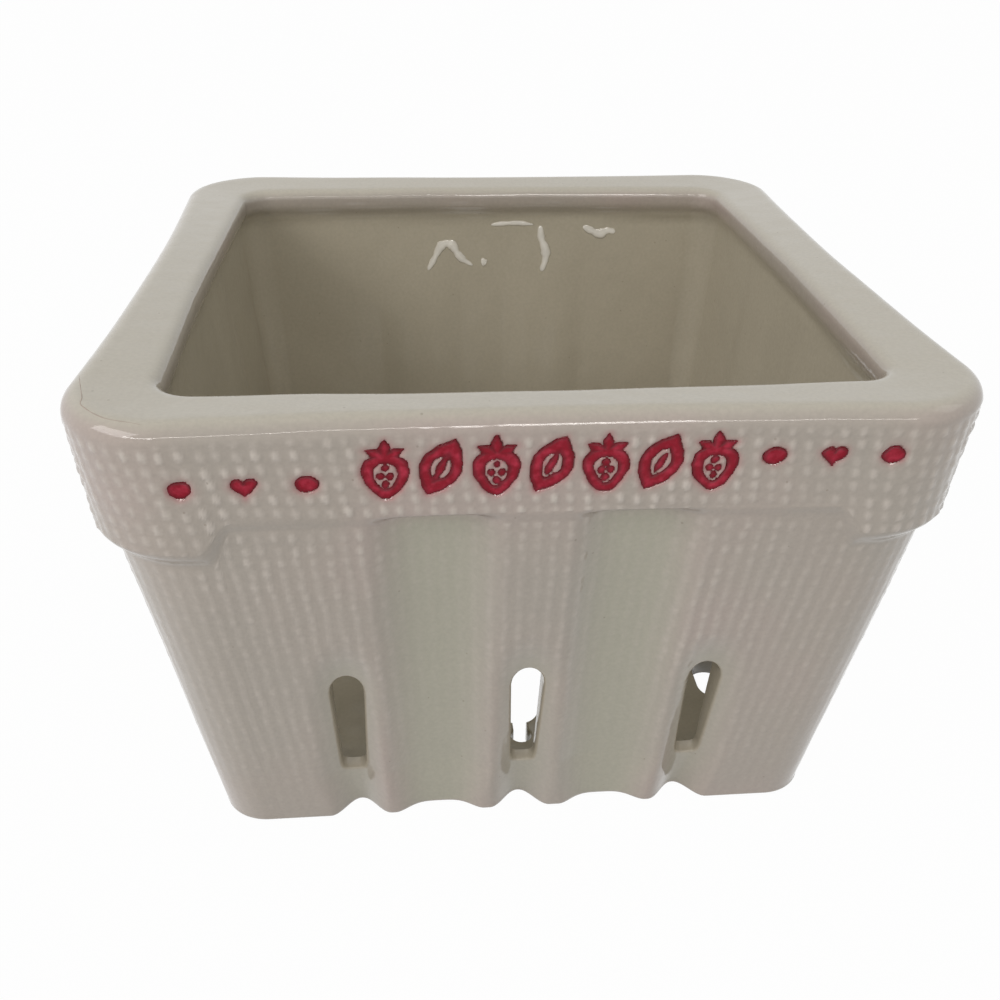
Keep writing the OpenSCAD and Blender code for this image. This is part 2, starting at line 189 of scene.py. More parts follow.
slotCentres = [-size["slotPitch"], 0.0, size["slotPitch"]]
slotGap = size["slotWidth"] / 2 + size["slotEdge"]
ridge = size["slotPitch"] * size["ridgeShare"]
# from calm outwards the columns take up the changing corner
calm, endMark = layout["calmEnd"], layout["sideEnd"]


def wallHalf(z):
    return footHalf + draft * z


def wallRadius(z):
    return size["footRadius"] + (size["neckRadius"] - size["footRadius"]) * z / neckZ


def wallBow(z):
    return size["rimBow"] * z / size["height"]


def fromFoot(z, atFoot, atSill):
    return np.interp(z, [size["footRound"], size["slotSill"]], [atFoot, atSill])


def slotHalf(z):
    return np.interp(z, [size["slotSill"], slotSpring], [size["slotFootWidth"] / 2, size["slotWidth"] / 2])


def grooveShare(t, z, front=False):
    # on the front the three grooves run a little aslant below their slots
    share = np.zeros_like(t + z)
    core = np.where(z < size["slotSill"], fromFoot(z, size["grooveFootCore"], size["slotFootWidth"] / 2),
                    slotHalf(z))
    near = size["grooveCore"] * core
    far = fromFoot(z, size["grooveFootReach"], ridge)
    for centre, lean in zip(slotCentres, size["grooveLean"]):
        middle = centre + np.where(front, lean * np.clip(1 - z / size["leanTop"], 0, 1), 0)
        away = np.hypot(t - middle, np.maximum(0, z - slotSpring) * size["grooveFade"])
        share = np.maximum(share, easeOff((away - near) / (far - near)))
    return share


def fluteShare(t, z):
    share = np.zeros_like(t + z)
    for middle in (-size["slotPitch"] / 2, size["slotPitch"] / 2):
        away = np.abs(t - middle) / fromFoot(z, size["fluteFootReach"], size["fluteReach"])
        share = np.maximum(share, easeOff(away ** size["flutePower"]))
    return share


def outerInset(t, z, front=False):
    groove = np.interp(z, [size["footRound"], size["slotSill"], slotSpring],
                       [size["grooveFootDepth"], size["grooveDepth"], size["grooveHeadDepth"]])
    flute = fromFoot(z, size["fluteFootDepth"], size["fluteDepth"])
    return groove * grooveShare(t, z, front) + flute * fluteShare(t, z)


def innerInset(t, z):
    # the flutes show inside at half their depth by the sill, fully in the middle, and fade out under the lip
    heights = [size["slotSill"], slotSpring, *size["innerFluteHeights"]]
    depth = np.interp(z, heights, [0.5, 1, 1, 0]) * size["innerFluteDepth"]
    return depth * fluteShare(t, z)


def wallThickness(z):
    lipFoot = size["height"] - size["lipHeight"] - size["lipRoll"]
    share = np.maximum(0, z - size["slotSill"]) / (lipFoot - size["slotSill"])
    return size["wall"] + (size["wallTop"] - size["wall"]) * share


def outerWall(t, z, front=False):
    # the side swells a little under the band, which leaves the step deepest at the corners
    u = t / (wallHalf(z) - wallRadius(z))
    swell = size["wallSwell"] * smoothStep(size["swellFrom"], neckZ, z) * (1 - u ** size["swellPower"])
    return wallHalf(z) - wallBow(z) * (1 - u * u) + swell - outerInset(t, z, front)


def innerWall(t, z):
    u = t / (wallHalf(z) - wallRadius(z))
    bow = size["openingBow"] * z / size["height"]
    return wallHalf(z) - wallThickness(z) + bow * (1 - u * u) - innerInset(t, z)


def spread(a, b, step):
    return list(np.linspace(a, b, max(2, math.ceil((b - a) / step)), endpoint=False))


def sideColumns(step, cells):
    # over a slot the columns stand closer towards its two edges
    places, starts, before = spread(-endMark, -calm, step), [], -calm
    for centre in slotCentres:
        places += spread(before, centre - ridge, step) + spread(centre - ridge, centre - slotGap, step)
        starts.append(len(places))
        shares = np.linspace(-1, 1, cells + 1)[:-1]
        even = layout["evenShare"]
        places += list(centre + slotGap * (even * shares + (1 - even) * np.sin(shares * np.pi / 2)))
        places += spread(centre + slotGap, centre + ridge, step)
        before = centre + ridge
    return places + spread(before, calm, step) + spread(calm, endMark, step) + [endMark], starts


# columns round the body: side number, place along the side, share of the corner arc (-1 on a side)
side, place, arc, slotColumns = [], [], [], []
for k in range(4):
    name = "front" if k == 0 else "other"
    cells = layout[name + "Cells"]
    found, starts = sideColumns(layout[name + "Step"], cells)
    slotColumns += [(k, centre, len(place) + s, cells) for centre, s in zip(slotCentres, starts)]
    onCorner = [j / layout["cornerCells"] for j in range(1, layout["cornerCells"])]
    place += found + [endMark] * len(onCorner)
    side += [k] * (len(found) + len(onCorner))
    arc += [-1.0] * len(found) + onCorner
side, place, arc = np.array(side), np.array(place), np.array(arc)
count = len(place)
onArc = arc >= 0
quarter = np.where(onArc, arc, 0) * np.pi / 2
slotOf = size["slotPitch"] * np.clip(np.round(place / size["slotPitch"]), -1, 1)
across = (place - slotOf) / slotGap
inSlot = (np.abs(across) <= 1 + 1e-9) & ~onArc


def alongSide(tEnd, gap):
    d = place - slotOf
    a = np.abs(d)
    beside = np.sign(d) * (gap + (a - slotGap) * (ridge - gap) / (ridge - slotGap))
    t = np.where(a <= slotGap, slotOf + d * gap / slotGap, np.where(a < ridge, slotOf + beside, place))
    end = np.sign(place) * (calm + (np.abs(place) - calm) * (tEnd - calm) / (endMark - calm))
    return np.where(np.abs(place) > calm, end, t)


def ringPoints(radius, out, t, z, tEnd):
    # out is how far the side stands out at t; the corner is an arc of the given radius
    x = np.where(onArc, tEnd + radius * np.sin(quarter), t)
    y = np.where(onArc, -tEnd - radius * np.cos(quarter), -out)
    nx, ny = np.where(onArc, np.sin(quarter), 0), np.where(onArc, -np.cos(quarter), -1)
    points = np.stack([*turned(x, y, side * np.pi / 2), z + np.zeros(count)], -1)
    normals = np.stack([*turned(nx, ny, side * np.pi / 2), np.zeros(count)], -1)
    return points, normals


def plainRing(half, radius, bow, z):
    tEnd = half - radius
    t = alongSide(tEnd, slotGap)
    return ringPoints(radius, half - bow * (1 - (t / tEnd) ** 2), t, z, tEnd)


def slotWarp(z0, edge, dip, lift):
    # rows bend over the head of a slot and under its sill, and ease into a soft wave farther off
    ease = smoothStep(0, size["arcReach"], max(z0 - slotSpring, slotFoot - z0))
    soft = np.clip(1 - across ** 2, 0, 1) ** 2 * ease
    head = np.sqrt(np.clip(1 - across ** 2, 0, 1)) * (1 - ease) + soft
    sill = np.sqrt(np.clip(1 - across ** 4, 0, 1)) * (1 - ease) + soft
    rise = (size["slotWidth"] / 2 + edge + lift) * head * easeOff((z0 - slotSpring) / size["headReach"])
    fall = (size["sillRound"] + edge + dip) * sill * easeOff((slotFoot - z0) / size["sillReach"])
    return np.where(inSlot, rise if z0 >= slotSpring else (-fall if z0 <= slotFoot else 0), 0)


def slotRim(inner):
    # how far a slot's rounded edge flares, how far it dips at the sill, and how far it rises at the head
    if inner:
        return size["slotInnerEdge"], 0, size["headDrop"]
    return size["slotEdge"], size["sillDip"], size["headRise"]


def wallRing(z0, inner):
    edge, dip, lift = slotRim(inner)
    z = z0 + slotWarp(z0, edge, dip, lift)
    if not inner:
        z = squeeze(z)
    thick = wallThickness(z) if inner else 0
    half, radius = wallHalf(z) - thick, wallRadius(z) - thick
    tEnd = half - radius
    t = alongSide(tEnd, slotHalf(z) + edge)
    out = innerWall(t, z) if inner else outerWall(t, z, side == 0)
    points, normals = ringPoints(radius, out, t, z, tEnd)
    return points, normals, t, z, tEnd, radius


bandEnd = bandFootHalf - size["rimRadius"]
bandPlace = alongSide(bandEnd, slotGap)
stepStart = bandEnd - size["bandStepIn"]
stepDown = np.where(onArc, 1, smoothStep(stepStart, stepStart + size["bandStepRun"], np.abs(bandPlace)))
bandEdge = edgeZ - size["bandDrop"] * stepDown
slopeRun = size["bandSlope"] + (size["cornerSlope"] - size["bandSlope"]) * stepDown


def squeeze(z):
    # the upper rows bend to end along the band's stepped lower edge
    low = size["bendFrom"]
    share = (z - low) * (bandEdge - slopeRun - low) / (edgeZ - size["bandSlope"] - low)
    return np.where(z > low, low + share, z)


def bandRing(z):
    foot = bandEdge + size["bandRound"]
    out = bandFootHalf + size["bandLean"] * (z - foot) / (rollZ - foot)
    radius = size["rimRadius"]
    tEnd = out - radius
    t = alongSide(tEnd, slotGap)
    bow = wallBow(z + size["rimRoll"])
    points, normals = ringPoints(radius, out - bow * (1 - (t / tEnd) ** 2), t, z, tEnd)
    return points, normals, t, z, tEnd, radius


# Woven beads and marks pressed into the outside

weave = {"columns": 26, "up": 2.45, "wide": 1.5, "tall": 2.4, "proud": 0.25, "streak": 0.45, "sunk": 0.16,
         "bandLean": 0.15, "strayAcross": 0.5, "strayUp": 0.6, "least": 0.45, "varies": 0.7,
         "onBand": 1.15, "onWall": 0.85, "heights": (2, 12, 45, 70), "strengths": (0.15, 0.35, 0.75, 0.95),
         "evenShare": 0.82, "fluteFlattens": 0.75, "cornerFlattens": 0.35, "streakTop": (70, 60),
         "markClear": (0.1, 1.2), "rimClear": (1.0, -1.2)}
hashing = {"factors": (12.9898, 78.233, 37.719), "stretch": 43758.5453}
waving = {"sines": 6, "pace": (0.6, 1.5), "start": (0, 6.3), "evenOut": 3.2}


def hashed(*keys):
    # scattered shares from 0 to 1 that are the same on each run
    total = sum(key * factor for key, factor in zip(keys, hashing["factors"]))
    return np.modf(np.abs(np.sin(total) * hashing["stretch"]))[0]


def waves(points, length, seed):
    # slow rise and fall, about -1 to 1, as a hand-poured cast has: crossing sines of nearly one length
    rng = np.random.default_rng(seed)
    total = 0
    for _ in range(waving["sines"]):
        way = rng.normal(size=3)
        way *= 2 * math.pi / length / np.linalg.norm(way) * rng.uniform(*waving["pace"])
        total = total + np.sin(points @ way + rng.uniform(*waving["start"]))
    return total / waving["evenOut"]


def skinWave(points, name):
    high, length, seed = skin[name]
    return high * waves(points, length, seed)


def beadHeight(t, z, tEnd, radius, lean):
    # the woven columns fan out with the wall, and their rows climb by one bead from the middle to a corner
    most = tEnd + radius * np.pi / 4
    reach = np.where(arc < 0.5, tEnd + radius * quarter, -(tEnd + radius * (np.pi / 2 - quarter)))
    b = (np.where(onArc, reach, t) - lean * (rollZ - z)) / most * weave["columns"]
    sideOf = np.where(onArc & (arc >= 0.5), side + 1, side)
    column = np.round(b)
    level = z / weave["up"] + b / weave["columns"]
    row = np.round(level)
    # each bead's own column and row, and its strays: one across, one up, and one in height
    key = (column + 2 * weave["columns"] * sideOf) % (8 * weave["columns"])
    rung = np.round(4 * (row - column / weave["columns"]))
    one, two, three = (hashed(key + 0.3 * i, rung + 0.7 * i, i) for i in (1, 2, 3))
    gap = most / weave["columns"]
    dx = (b - column) * gap / (weave["wide"] / 2) + (one - 0.5) * weave["strayAcross"]
    dz = (level - row) * weave["up"] / (weave["tall"] / 2) + (two - 0.5) * weave["strayUp"]
    dome = smoothStep(0, 1, 1 - dx * dx - dz * dz) * (weave["least"] + weave["varies"] * three)
    streak = smoothStep(0, 1, 1 - dx * dx) * weave["streak"] * smoothStep(*weave["streakTop"], z)
    return np.maximum(dome, streak)


def loopDistance(u, v, loop):
    # distance to a closed outline, negative inside it
    loop = np.asarray(loop)
    best, inside = np.full(u.shape, np.inf), np.zeros(u.shape, bool)
    for (ax, ay), (bx, by) in zip(loop, np.roll(loop, -1, 0)):
        ex, ey = bx - ax, by - ay
        share = np.clip(((u - ax) * ex + (v - ay) * ey) / max(ex * ex + ey * ey, 1e-12), 0, 1)
        best = np.minimum(best, np.hypot(u - ax - share * ex, v - ay - share * ey))
        if ay != by:
            inside ^= ((ay > v) != (by > v)) & (u < ax + (v - ay) / (by - ay) * ex)
    return np.where(inside, -best, best)


marks = {"height": 10.0, "width": 6.4, "line": 1.4, "pitch": 8.0, "drop": 8.3, "shift": 1.2, "dotWidth": 3.2,
         "dotHeight": 2.6, "dotPitch": 8.8, "dotPlace": 42.8, "leftDrop": 1.9, "rightRise": 0.8,
         "press": 0.95, "bottom": 1.0, "sink": 0.3, "leafTilt": 24.0, "points": 40, "wobble": 0.11,
         "wobbleLength": 2.6, "wobbleSeed": 31, "edgeSoft": 0.26, "bleedReach": 0.42,
         "fruitShare": 0.76, "fruitTaper": 0.32, "seedShare": 0.14, "crownShare": 0.24,
         "seeds": ((0, 0.19), (-0.11, 0.01), (0.11, 0.01), (0, -0.17)), "petalTurns": (-62, 0, 62),
         "bellyShare": 0.6,
         "leafShare": 0.92, "leafTipLines": 3.4, "veinWide": 0.7, "veinShare": 0.4,
         "heartWide": 1.1, "heartTall": 1.25, "heartWaves": (0.42, -0.16, -0.065, -0.03)}
noMark = 9.0  # stands for a distance at which no mark is near


def loopAngles(shift=0.0):
    return (np.arange(marks["points"]) + shift) * 2 * np.pi / marks["points"]


def roundLoop(w, h, taper=0.0):
    q = loopAngles()
    return np.stack([w / 2 * np.sin(q) * (1 + taper * np.cos(q)), h / 2 * np.cos(q)], -1)


def leafLoop(w, h):
    q = loopAngles()
    return np.stack([w / 2 * np.sin(q) * np.abs(np.sin(q)), h / 2 * np.cos(q)], -1)


def heartLoop(w, h):
    q = loopAngles(0.5)
    up = sum(share * np.cos(k * q) for k, share in enumerate(marks["heartWaves"], 1))
    return np.stack([w / 2 * np.sin(q) ** 3, h * up], -1)


def berryDistance(u, v):
    w, tall, line = marks["width"], marks["height"], marks["line"]
    h, taper, seed = tall * marks["fruitShare"], marks["fruitTaper"], marks["seedShare"]
    low = v + (tall - h) / 2
    d = np.maximum(loopDistance(u, low, roundLoop(w, h, taper)),
                   -loopDistance(u, low, roundLoop(w - 2 * line, h - 2 * line, taper)))
    for px, py in marks["seeds"]:
        d = np.minimum(d, loopDistance(u - px * w, low - py * h, roundLoop(w * seed, h * seed)))
    crown = tall * marks["crownShare"] + line / 2
    belly = crown * marks["bellyShare"]
    petal = [(-line / 3, 0), (line / 3, 0), (line / 2, belly), (0, crown), (-line / 2, belly)]
    root = v - tall / 2 + crown
    for q in np.radians(marks["petalTurns"]):
        d = np.minimum(d, loopDistance(*turned(u, root, -q), petal))
    return d


def leafDistance(u, v):
    w, tall, line = marks["width"] * marks["leafShare"], marks["height"], marks["line"]
    x, y = turned(u, v, math.radians(marks["leafTilt"]))
    edge = np.maximum(loopDistance(x, y, leafLoop(w, tall)),
                      -loopDistance(x, y, leafLoop(w - 2 * line, tall - marks["leafTipLines"] * line)))
    return np.minimum(edge, loopDistance(x, y, leafLoop(line * marks["veinWide"], tall * marks["veinShare"])))


def handFilled(x, z):
    # how far a mark's outline strays where the glaze was filled in by hand
    return marks["wobble"] * waves(np.stack([x, z, 0 * x], -1), marks["wobbleLength"], marks["wobbleSeed"])


def dotDistance(u, v):
    return loopDistance(u, v, roundLoop(marks["dotWidth"], marks["dotHeight"]))


def heartDistance(u, v):
    w, h = marks["dotWidth"] * marks["heartWide"], marks["dotHeight"] * marks["heartTall"]
    return loopDistance(u, v, heartLoop(w, h))


markZ = size["height"] - marks["drop"]
markList = [(f"berry_glaze_{i}" if i % 2 else f"leaf_glaze_{i}", berryDistance if i % 2 else leafDistance,
             marks["shift"] + (i - 4) * marks["pitch"], markZ) for i in range(1, 8)]
for names, sign, height in ((("dot_glaze_far_left", "heart_glaze_left", "dot_glaze_near_left"), -1,
                             markZ - marks["leftDrop"]),
                            (("dot_glaze_near_right", "heart_glaze_right", "dot_glaze_far_right"), 1,
                             markZ + marks["rightRise"])):
    for i, name in zip((-1, 0, 1), names):
        shape = dotDistance if "dot" in name else heartDistance
        markList.append((name, shape, sign * marks["dotPlace"] + i * marks["dotPitch"], height))
leanAngle = math.atan2(size["bandLean"], rollZ - edgeZ - size["bandRound"])
markReach = (5.5, 7.0)  # half of the field that is looked at round a mark


def markDistance(t, z):
    # only the front side carries marks
    best = np.full(count, noMark)
    for _, shape, x, height in markList:
        u, v = t - x, (z - height) / math.cos(leanAngle)
        close = (side == 0) & ~onArc & (np.abs(u) < markReach[0]) & (np.abs(v) < markReach[1])
        if close.any():
            found = shape(u[close], v[close]) + handFilled(x + u[close], height + v[close])
            best[close] = np.minimum(best[close], found)
    return best


# the clear glaze pools in the flutes, less in the grooves, and thins out under the band
pooling = {"inGroove": 0.7, "top": (73, 69)}
rows = []
shares = {"beadShare": [], "redBleed": [], "insideShare": [], "poolShare": [], "topShare": []}


def addRow(points, **given):
    rows.append(points)
    for key, kept in shares.items():
        kept.append(np.zeros(count) + given.get(key, 0.0))


def dressedRow(points, normals, t, z, tEnd, radius, onBand):
    bead = beadHeight(t, z, tEnd, radius, weave["bandLean"] if onBand else 0)
    patch = weave["evenShare"] + skinWave(points, "patch")
    if onBand:
        low, high = (rollZ + above for above in weave["rimClear"])
        strength = weave["onBand"] * smoothStep(low, high, z) * patch
        pooled = 0 * z
    else:
        flute = fluteShare(t, z) * ~onArc
        groove = grooveShare(t, z, side == 0) * ~onArc
        strength = np.interp(z, weave["heights"], weave["strengths"]) * patch
        strength *= 1 - weave["fluteFlattens"] * flute
        strength *= weave["onWall"]
        strength *= 1 - groove
        pooled = np.maximum(flute, pooling["inGroove"] * groove) * smoothStep(*pooling["top"], z)
    corner = np.where(onArc & (not onBand), 1 - weave["cornerFlattens"] * np.sin(2 * quarter), 1)
    away = markDistance(t, z) if onBand else np.full(count, noMark)
    strength = strength * corner * smoothStep(*weave["markClear"], away)
    lift = weave["proud"] * bead * strength + skinWave(points, "cast") + skinWave(points, "fineCast")
    lift -= weave["sunk"] + marks["press"] * smoothStep(marks["edgeSoft"], -marks["edgeSoft"], away)
    bleed = np.where(away < noMark, np.exp(-np.maximum(away, 0) / marks["bleedReach"]), 0)
    # the beads' share carries their paler colour: partly the glaze thinning over them, partly a painted
    # highlight
    addRow(points + normals * lift[:, None], beadShare=bead * strength, redBleed=bleed, poolShare=pooled)


def rowHeights(low, high, n):
    # n even steps up or down to high, without low itself
    return list(np.linspace(low, high, n + 1))[1:]


# foot: rounded edge on the table, then up the outside
for q in np.radians([90, 60, 30]):
    points, normals = wallRing(size["footRound"], False)[:2]
    points = points - normals * size["footRound"] * (1 - math.cos(q))
    points[:, 2] = size["footRound"] * (1 - math.sin(q))
    addRow(points)
slotRows = layout["slotRows"]
below = [size["footRound"]] + rowHeights(size["footRound"], slotFoot, layout["belowRows"])
beside = rowHeights(slotFoot, slotSpring, slotRows)
above = rowHeights(slotSpring, edgeZ - size["bandSlope"], layout["aboveRows"])
outerSlotRow = len(rows) + len(below) - 1
for z0 in below + beside + above:
    dressedRow(*wallRing(z0, False), False)
# the slope out to the band, in shares of its run
neckPoints, neckNormals, _, neckAt = wallRing(edgeZ - size["bandSlope"], False)[:4]
for v in (0.14, 0.3, 0.46, 0.62, 0.78, 0.92):
    z = neckAt + v * (slopeRun + size["bandRound"])
    upper = bandRing(np.maximum(z, bandEdge + size["bandRound"]))[0]
    share = smoothStep(0.05, 1.0, v)
    points = neckPoints * (1 - share) + upper * share
    points[:, 2] = z
    addRow(points - neckNormals * weave["sunk"])
for v in np.linspace(0, 1, layout["bandRows"]):
    z = bandEdge + size["bandRound"] + v * (rollZ - bandEdge - size["bandRound"])
    dressedRow(*bandRing(z), True)


# Rim: rolled edge, flat top, soft lip and its underside

# its waves in millimetres, which keep under the plain rim, the angles over which its top's painted light (a
# paler colour standing for the light from above) sets in, and
# its rows: across the top in shares, and under the lip by how far out, how far down and how far inside
rim = {"wave": 0.06, "lipWave": 0.1, "sideKeep": 1.4, "topWave": 0.8, "topKeep": 1.2, "rollPaintedLight": (0.5, 1.4),
       "lipPaintedLight": (1.57, 0.4), "across": (0.1, 0.22, 0.34, 0.46, 0.58, 0.7, 0.82, 0.92, 1.0),
       "underLip": ((0, 3.6, 0.1), (0.04, 4.2, 0.2), (0.18, 4.8, 0.3), (0.45, 5.4, 0.45), (0.82, 6.0, 0.6),
                    (1.2, 6.6, 0.75), (1.5, 7.3, 0.9), (1.68, 8.0, 1.0)),
       "underRound": 0.38, "wallFrom": 8.8}


# top is the share of the rim's colour painted paler and a little greener; the paleness is painted light from
# above
def rimRow(half, radius, bow, z, inside=0.0, top=0.0, wave=rim["wave"]):
    points, normals = plainRing(half, radius, bow, z)
    points = points + normals * (wave * (skinWave(points, "rimSide") - rim["sideKeep"]))[:, None]
    points[:, 2] += wave * rim["topWave"] * (skinWave(points, "rimTop") - rim["topKeep"])
    addRow(points, insideShare=inside, topShare=top)


roll, lip, lipTop = size["rimRoll"], size["lipRoll"], size["height"] - size["rimFall"]
for q in np.radians([12, 24, 36, 48, 60, 70, 80, 90]):
    shrink = roll * (1 - math.cos(q))
    rimRow(rimHalf - shrink, size["rimRadius"] - shrink, size["rimBow"], rollZ + roll * math.sin(q),
           top=smoothStep(*rim["rollPaintedLight"], q))
outerTop = (rimHalf - roll, size["rimRadius"] - roll, size["rimBow"], size["height"])
innerTop = (openingHalf + lip, size["openingRadius"] + lip, -size["openingBow"], lipTop)
for v in rim["across"]:
    rimRow(*[a + (b - a) * v for a, b in zip(outerTop, innerTop)], top=1.0)
for q in np.radians([15, 30, 45, 60, 75, 90]):
    off = lip * (1 - math.sin(q))
    rimRow(openingHalf + off, size["openingRadius"] + off, -size["openingBow"],
           lipTop - lip * (1 - math.cos(q)), top=smoothStep(*rim["lipPaintedLight"], q), wave=rim["lipWave"])
# below the roll the lip turns out in a soft S to the inside wall
for off, down, inside in rim["underLip"]:
    rimRow(openingHalf + off, size["openingRadius"] + rim["underRound"] * off, -size["openingBow"],
           size["height"] - down, inside)

# inside wall, the same rows beside the slots as outside
wallFrom = size["height"] - rim["wallFrom"]
innerRows = [wallFrom] + rowHeights(wallFrom, slotSpring, layout["insideRows"])
innerRows += rowHeights(slotSpring, slotFoot, slotRows)
innerSlotRow = len(rows) + len(innerRows) - 1
for z0 in innerRows + [slotFoot - size["sillRow"]]:
    points, normals = wallRing(z0, True)[:2]
    lift = skinWave(points, "inside") + skinWave(points, "fineInside")
    addRow(points - normals * lift[:, None], insideShare=1.0)
filletTop = floorZ + size["floorFillet"]
startPoints = wallRing(filletTop, True)[0]
startHalf = wallHalf(filletTop) - size["wall"]
for q in np.radians([0, 15, 30, 45, 60, 75, 90]):
    points = startPoints * (startHalf - size["floorFillet"] * (1 - math.cos(q))) / startHalf
    points[:, 2] = floorZ + size["floorFillet"] * (1 - math.sin(q))
    addRow(points, insideShare=1.0)
print("body rows", len(rows), "columns", count)

points = np.concatenate(rows)
points[:, :2] = np.clip(points[:, :2], -rimHalf, rimHalf)  # no wave stands out past the rim's size
faces = []
openCells = set()
for k, centre, start, cells in slotColumns:
    for base in (outerSlotRow, innerSlotRow - slotRows):
        openCells |= {(r, c) for r in range(base, base + slotRows) for c in range(start, start + cells)}
for r in range(len(rows) - 1):
    for c in range(count):
        if (r, c) not in openCells:
            d = (c + 1) % count
            faces.append((r * count + c, r * count + d, (r + 1) * count + d, (r + 1) * count + c))
extra = []
extraInside = []
# how much of the inside's colour the slots' edges, the drains and the foot's hollow take
insideTone = {"slot": 0.75, "drain": 1.0, "hollow": 0.5}


def addPoints(new, inside):
    start = len(points) + len(extra)
    extra.extend(new)
    extraInside.extend([inside] * len(new))
    return list(range(start, start + len(new)))


def bridge(a, b):
    for i in range(len(a)):
        j = (i + 1) % len(a)
        faces.append((a[i], a[j], b[j], b[i]))


# slots: rounded edges that run from the outside loop to the inside loop
def slotLoop(k, centre, start, cells, q, inner):
    w = across[start:start + cells + 1]
    heights = np.linspace(slotFoot, slotSpring, slotRows + 1)
    flare, dip, lift = slotRim(inner)
    edge, depth = flare * (1 - math.sin(q)), flare * (1 - math.cos(q))
    fall = (size["sillRound"] + edge + dip) * np.sqrt(np.clip(1 - w ** 4, 0, 1))
    rise = (size["slotWidth"] / 2 + edge + lift) * np.sqrt(np.clip(1 - w ** 2, 0, 1))
    share = np.concatenate([w, np.ones(slotRows - 1), w[::-1], -np.ones(slotRows - 1)])
    z = np.concatenate([slotFoot - fall, heights[1:-1], (slotSpring + rise)[::-1], heights[1:-1][::-1]])
    t = centre + share * (slotHalf(z) + edge)
    out = innerWall(t, z) + depth if inner else outerWall(t, z) - depth
    return np.stack([*turned(t, -out, k * math.pi / 2), z], -1)


def gridLoop(start, cells, base, step):
    # the grid's own vertices round a slot, in the order that slotLoop uses
    low = [base * count + c for c in range(start, start + cells + 1)]
    high = [(base + step * slotRows) * count + c for c in range(start + cells, start - 1, -1)]
    right = [(base + step * i) * count + start + cells for i in range(1, slotRows)]
    left = [(base + step * i) * count + start for i in range(slotRows - 1, 0, -1)]
    return low + right + high + left


for k, centre, start, cells in slotColumns:
    outerIds = gridLoop(start, cells, outerSlotRow, 1)
    innerIds = gridLoop(start, cells, innerSlotRow, -1)
    last = outerIds
    for inner, ids, angles in ((False, outerIds, (25, 50, 70, 90)), (True, innerIds, (90, 65, 40))):
        # the grid lies a little off the plain wall there, and the edge follows it
        shift = points[ids] - slotLoop(k, centre, start, cells, 0, inner)
        for q in np.radians(angles):
            new = addPoints(slotLoop(k, centre, start, cells, q, inner) + shift, insideTone["slot"])
            bridge(last, new)
            last = new
    bridge(last, innerIds)


# floor: flat faces with the drain slots left out, and the hollow inside the foot ring
def arcPoints(x, radius, start, end, n):
    q = np.linspace(start, end, n)
    return np.stack([x + radius * np.cos(q), radius * np.sin(q)], -1)


def shortOutline(grow):
    radius, reach = size["shortWidth"] / 2, (size["shortLength"] - size["shortWidth"]) / 2
    end = arcPoints(reach, radius + grow, -np.pi / 2, np.pi / 2, layout["notchPoints"])
    return np.concatenate([end, -end])


def longOutline(grow):
    # a wide slot that tapers outwards and runs through a short neck into a small round notch
    wide, slim, notch = (size[k] / 2 + grow for k in ("drainWidth", "drainTip", "notchWidth"))
    start = size["drainIn"] + size["drainWidth"] / 2
    end = size["drainOut"] - size["tipBack"] - size["drainTip"] / 2
    neck = size["notchWidth"] * size["neckShare"] + grow
    lean = math.acos((wide - slim) / (end - start))
    out, back = math.asin(neck / slim), math.pi - math.asin(neck / notch)
    tipPoints = layout["cornerPoints"]
    return np.concatenate([arcPoints(start, wide, lean, 2 * np.pi - lean, layout["headPoints"]),
                           arcPoints(end, slim, -lean, -out, tipPoints),
                           arcPoints(size["notchAt"], notch, -back, back, layout["notchPoints"]),
                           arcPoints(end, slim, out, lean, tipPoints)])


drainSlots = [(longOutline, size["drainShift"] * (k == 3), 0, k * math.pi / 2) for k in range(4)]
drainSlots += [(shortOutline, sx * size["shortAcross"], sy * size["shortAlong"], math.pi / 2)
               for sx in (-1, 1) for sy in (-1, 1)]


def roundedSquare(half, radius):
    q = np.linspace(0, np.pi / 2, layout["cornerPoints"])
    flat = half - radius
    x, y = flat + radius * np.sin(q), -flat - radius * np.cos(q)
    return np.concatenate([np.stack(turned(x, y, k * math.pi / 2), -1) for k in range(4)])


def flatFace(outer, holes, outerIds, holeIds):
    # fills the outline with triangles, apart from its holes, on vertices that are there already
    loops, ids = [outer] + holes, [outerIds] + holeIds
    flat = np.concatenate(loops)
    allIds = [i for loop in ids for i in loop]
    edges, start = [], 0
    for loop in loops:
        edges += [(start + i, start + (i + 1) % len(loop)) for i in range(len(loop))]
        start += len(loop)
    nearest = 1e-7  # points as near as this are taken as one
    made = delaunay_2d_cdt([Vector(p) for p in flat], edges, [], 0, nearest)
    vertices, triangles, origin = np.array(made[0]), np.array(made[2]), made[3]
    middleOf = vertices[triangles].mean(1)
    keep = loopDistance(middleOf[:, 0], middleOf[:, 1], outer) < 0
    for hole in holes:
        keep &= loopDistance(middleOf[:, 0], middleOf[:, 1], hole) > 0
    for a, b, c in triangles[keep]:
        faces.append(tuple(allIds[origin[i][0]] for i in (a, b, c)))


